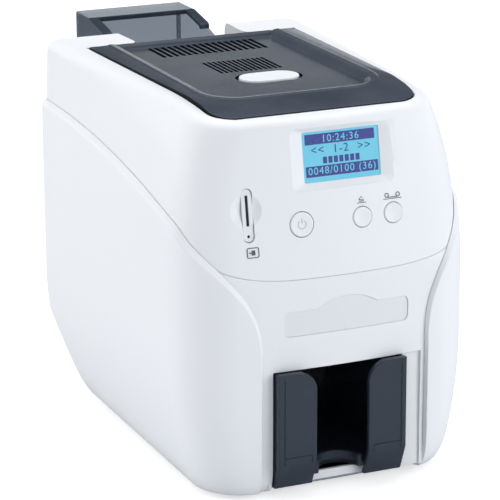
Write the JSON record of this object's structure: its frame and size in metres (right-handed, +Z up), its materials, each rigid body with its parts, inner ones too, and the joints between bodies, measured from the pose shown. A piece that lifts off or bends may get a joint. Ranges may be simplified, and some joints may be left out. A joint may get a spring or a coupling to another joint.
{
  "type": "card printer",
  "caption": "Desktop card printer: glossy casing with S-edged side panels, smoked hinged lid with vents and release button, open card hopper behind, card stacker in front, display and buttons.",
  "frame": {"origin": "on the table, under the middle of the overall width and depth", "axes": "+X to the right seen from the front, +Y from the stacker towards the hopper at the rear, +Z up"},
  "size_m": [0.172, 0.312, 0.2145],
  "materials": {
    "casing": "high gloss, moulded",
    "smoke": "smoked translucent, polished",
    "dark_smoke": "dark smoked, polished",
    "display": "lit panel behind clear glass",
    "rubber": "matt",
    "steel": "ground",
    "plate": "zinc plated sheet",
    "aluminium": "extruded",
    "nylon": "natural",
    "black_plastic": "fine texture",
    "board": "solder mask",
    "brass": "turned",
    "ribbon": "thin film",
    "motor": "satin",
    "ceramic": "glazed"
  },
  "bodies": {
    "chassis": {"upper_casing": "casing", "left_side_panel": "casing", "right_side_panel": "casing", "front_cover": "casing", "rear_panel": "casing", "base_tray": "plate", "feet": "rubber", "latch_studs": "steel", "hinge_brackets": "plate", "hinge_pins": "steel", "hopper_box": "smoke", "hopper_gate": "steel", "display_glass": "display", "display_board": "board", "chip_reader": "casing", "left_frame_plate": "plate", "right_frame_plate": "plate", "tie_bars": "steel", "card_guides": "nylon", "shaft_bushes": "nylon", "drive_belt": "black_plastic", "drive_motor": "motor", "ribbon_film": "ribbon", "ribbon_motor": "motor", "main_board": "board", "port_sockets": "steel", "power_inlet": "black_plastic", "switch_frame": "black_plastic"},
    "lid": {"lid_cover": "smoke", "lid_frame": "dark_smoke", "latch_rod": "steel", "head_bracket": "plate", "head_heatsink": "aluminium", "print_head": "ceramic"},
    "lid_button": {"lid_button": "casing"},
    "lid_latch": {"lid_latch": "plate"},
    "card_weight": {"card_weight": "dark_smoke"},
    "stacker": {"stacker_tray": "dark_smoke"},
    "power_button": {"power_button": "casing"},
    "eject_button": {"eject_button": "casing"},
    "ribbon_button": {"ribbon_button": "casing"},
    "power_rocker": {"power_rocker": "black_plastic"},
    "pick_roll": {"pick_roller": "rubber", "pick_shaft": "steel"},
    "feed_roll": {"feed_roller": "rubber", "feed_shaft": "steel"},
    "platen": {"platen_roller": "rubber", "platen_shaft": "steel"},
    "exit_roll": {"exit_roller": "rubber", "exit_shaft": "steel"},
    "feed_pinch": {"feed_pinch_roller": "steel"},
    "exit_pinch": {"exit_pinch_roller": "steel"},
    "cleaning_roll": {"cleaning_roller": "steel"},
    "motor_pulley": {"motor_pulley": "steel"},
    "supply": {"supply_spool": "nylon", "ribbon_roll": "ribbon"},
    "takeup": {"takeup_spool": "nylon", "takeup_gear": "nylon"},
    "ribbon_pinion": {"ribbon_pinion": "brass"}
  },
  "joints": [
    {"name": "lid_hinge", "type": "hinge", "parent": "chassis", "child": "lid", "pos_m": [0, 0.047, 0.2095], "axis": [-1, 0, 0], "range_deg": [0, 80]},
    {"name": "lid_button_press", "type": "slide", "parent": "lid", "child": "lid_button", "axis": [0, 0, -1], "range_m": [0, 0.002], "stiffness_N_per_m": 300, "springref_m": -0.001},
    {"name": "latch_turn", "type": "hinge", "parent": "lid", "child": "lid_latch", "pos_m": [0, -0.064, 0.198], "axis": [-1, 0, 0], "range_deg": [0, 12]},
    {"name": "weight_lift", "type": "slide", "parent": "chassis", "child": "card_weight", "axis": [0, 0, 1], "range_m": [0, 0.06]},
    {"name": "stacker_pull", "type": "slide", "parent": "chassis", "child": "stacker", "axis": [0, -1, 0], "range_m": [0, 0.06]},
    {"name": "power_press", "type": "slide", "parent": "chassis", "child": "power_button", "axis": [0, 0.9863, -0.165], "range_m": [0, 0.0008], "stiffness_N_per_m": 600, "springref_m": -0.0005},
    {"name": "eject_press", "type": "slide", "parent": "chassis", "child": "eject_button", "axis": [0, 0.9863, -0.165], "range_m": [0, 0.0008], "stiffness_N_per_m": 600, "springref_m": -0.0005},
    {"name": "ribbon_press", "type": "slide", "parent": "chassis", "child": "ribbon_button", "axis": [0, 0.9863, -0.165], "range_m": [0, 0.0008], "stiffness_N_per_m": 600, "springref_m": -0.0005},
    {"name": "rocker_tilt", "type": "hinge", "parent": "chassis", "child": "power_rocker", "pos_m": [-0.058, 0.082, 0.112], "axis": [1, 0, 0], "range_deg": [-8, 8]},
    {"name": "platen_turn", "type": "hinge", "parent": "chassis", "child": "platen", "pos_m": [0, -0.011, 0.118], "axis": [1, 0, 0], "continuous": true},
    {"name": "pick_turn", "type": "hinge", "parent": "chassis", "child": "pick_roll", "pos_m": [0, 0.0725, 0.118], "axis": [1, 0, 0], "continuous": true},
    {"name": "feed_turn", "type": "hinge", "parent": "chassis", "child": "feed_roll", "pos_m": [0, 0.052, 0.118], "axis": [1, 0, 0], "continuous": true},
    {"name": "exit_turn", "type": "hinge", "parent": "chassis", "child": "exit_roll", "pos_m": [0, -0.052, 0.118], "axis": [1, 0, 0], "continuous": true},
    {"name": "motor_turn", "type": "hinge", "parent": "chassis", "child": "motor_pulley", "pos_m": [0, 0.014, 0.06], "axis": [1, 0, 0], "continuous": true},
    {"name": "feed_pinch_turn", "type": "hinge", "parent": "chassis", "child": "feed_pinch", "pos_m": [0, 0.052, 0.1304], "axis": [1, 0, 0], "continuous": true},
    {"name": "exit_pinch_turn", "type": "hinge", "parent": "chassis", "child": "exit_pinch", "pos_m": [0, -0.052, 0.1304], "axis": [1, 0, 0], "continuous": true},
    {"name": "cleaning_turn", "type": "hinge", "parent": "chassis", "child": "cleaning_roll", "pos_m": [0, 0.02, 0.1319], "axis": [1, 0, 0], "continuous": true},
    {"name": "supply_turn", "type": "hinge", "parent": "chassis", "child": "supply", "pos_m": [0, 0.032, 0.159], "axis": [1, 0, 0], "continuous": true},
    {"name": "takeup_turn", "type": "hinge", "parent": "chassis", "child": "takeup", "pos_m": [0, -0.074, 0.159], "axis": [1, 0, 0], "continuous": true},
    {"name": "pinion_turn", "type": "hinge", "parent": "chassis", "child": "ribbon_pinion", "pos_m": [0, -0.05844, 0.14046], "axis": [1, 0, 0], "continuous": true}
  ],
  "couplings": [
    {"joint": "pick_turn", "follows": "platen_turn", "ratio": 1},
    {"joint": "feed_turn", "follows": "platen_turn", "ratio": 1},
    {"joint": "exit_turn", "follows": "platen_turn", "ratio": 1},
    {"joint": "motor_turn", "follows": "platen_turn", "ratio": 1},
    {"joint": "pinion_turn", "follows": "takeup_turn", "ratio": -3},
    {"joint": "latch_turn", "follows": "lid_button_press", "rad_per_m": 104.5}
  ]
}
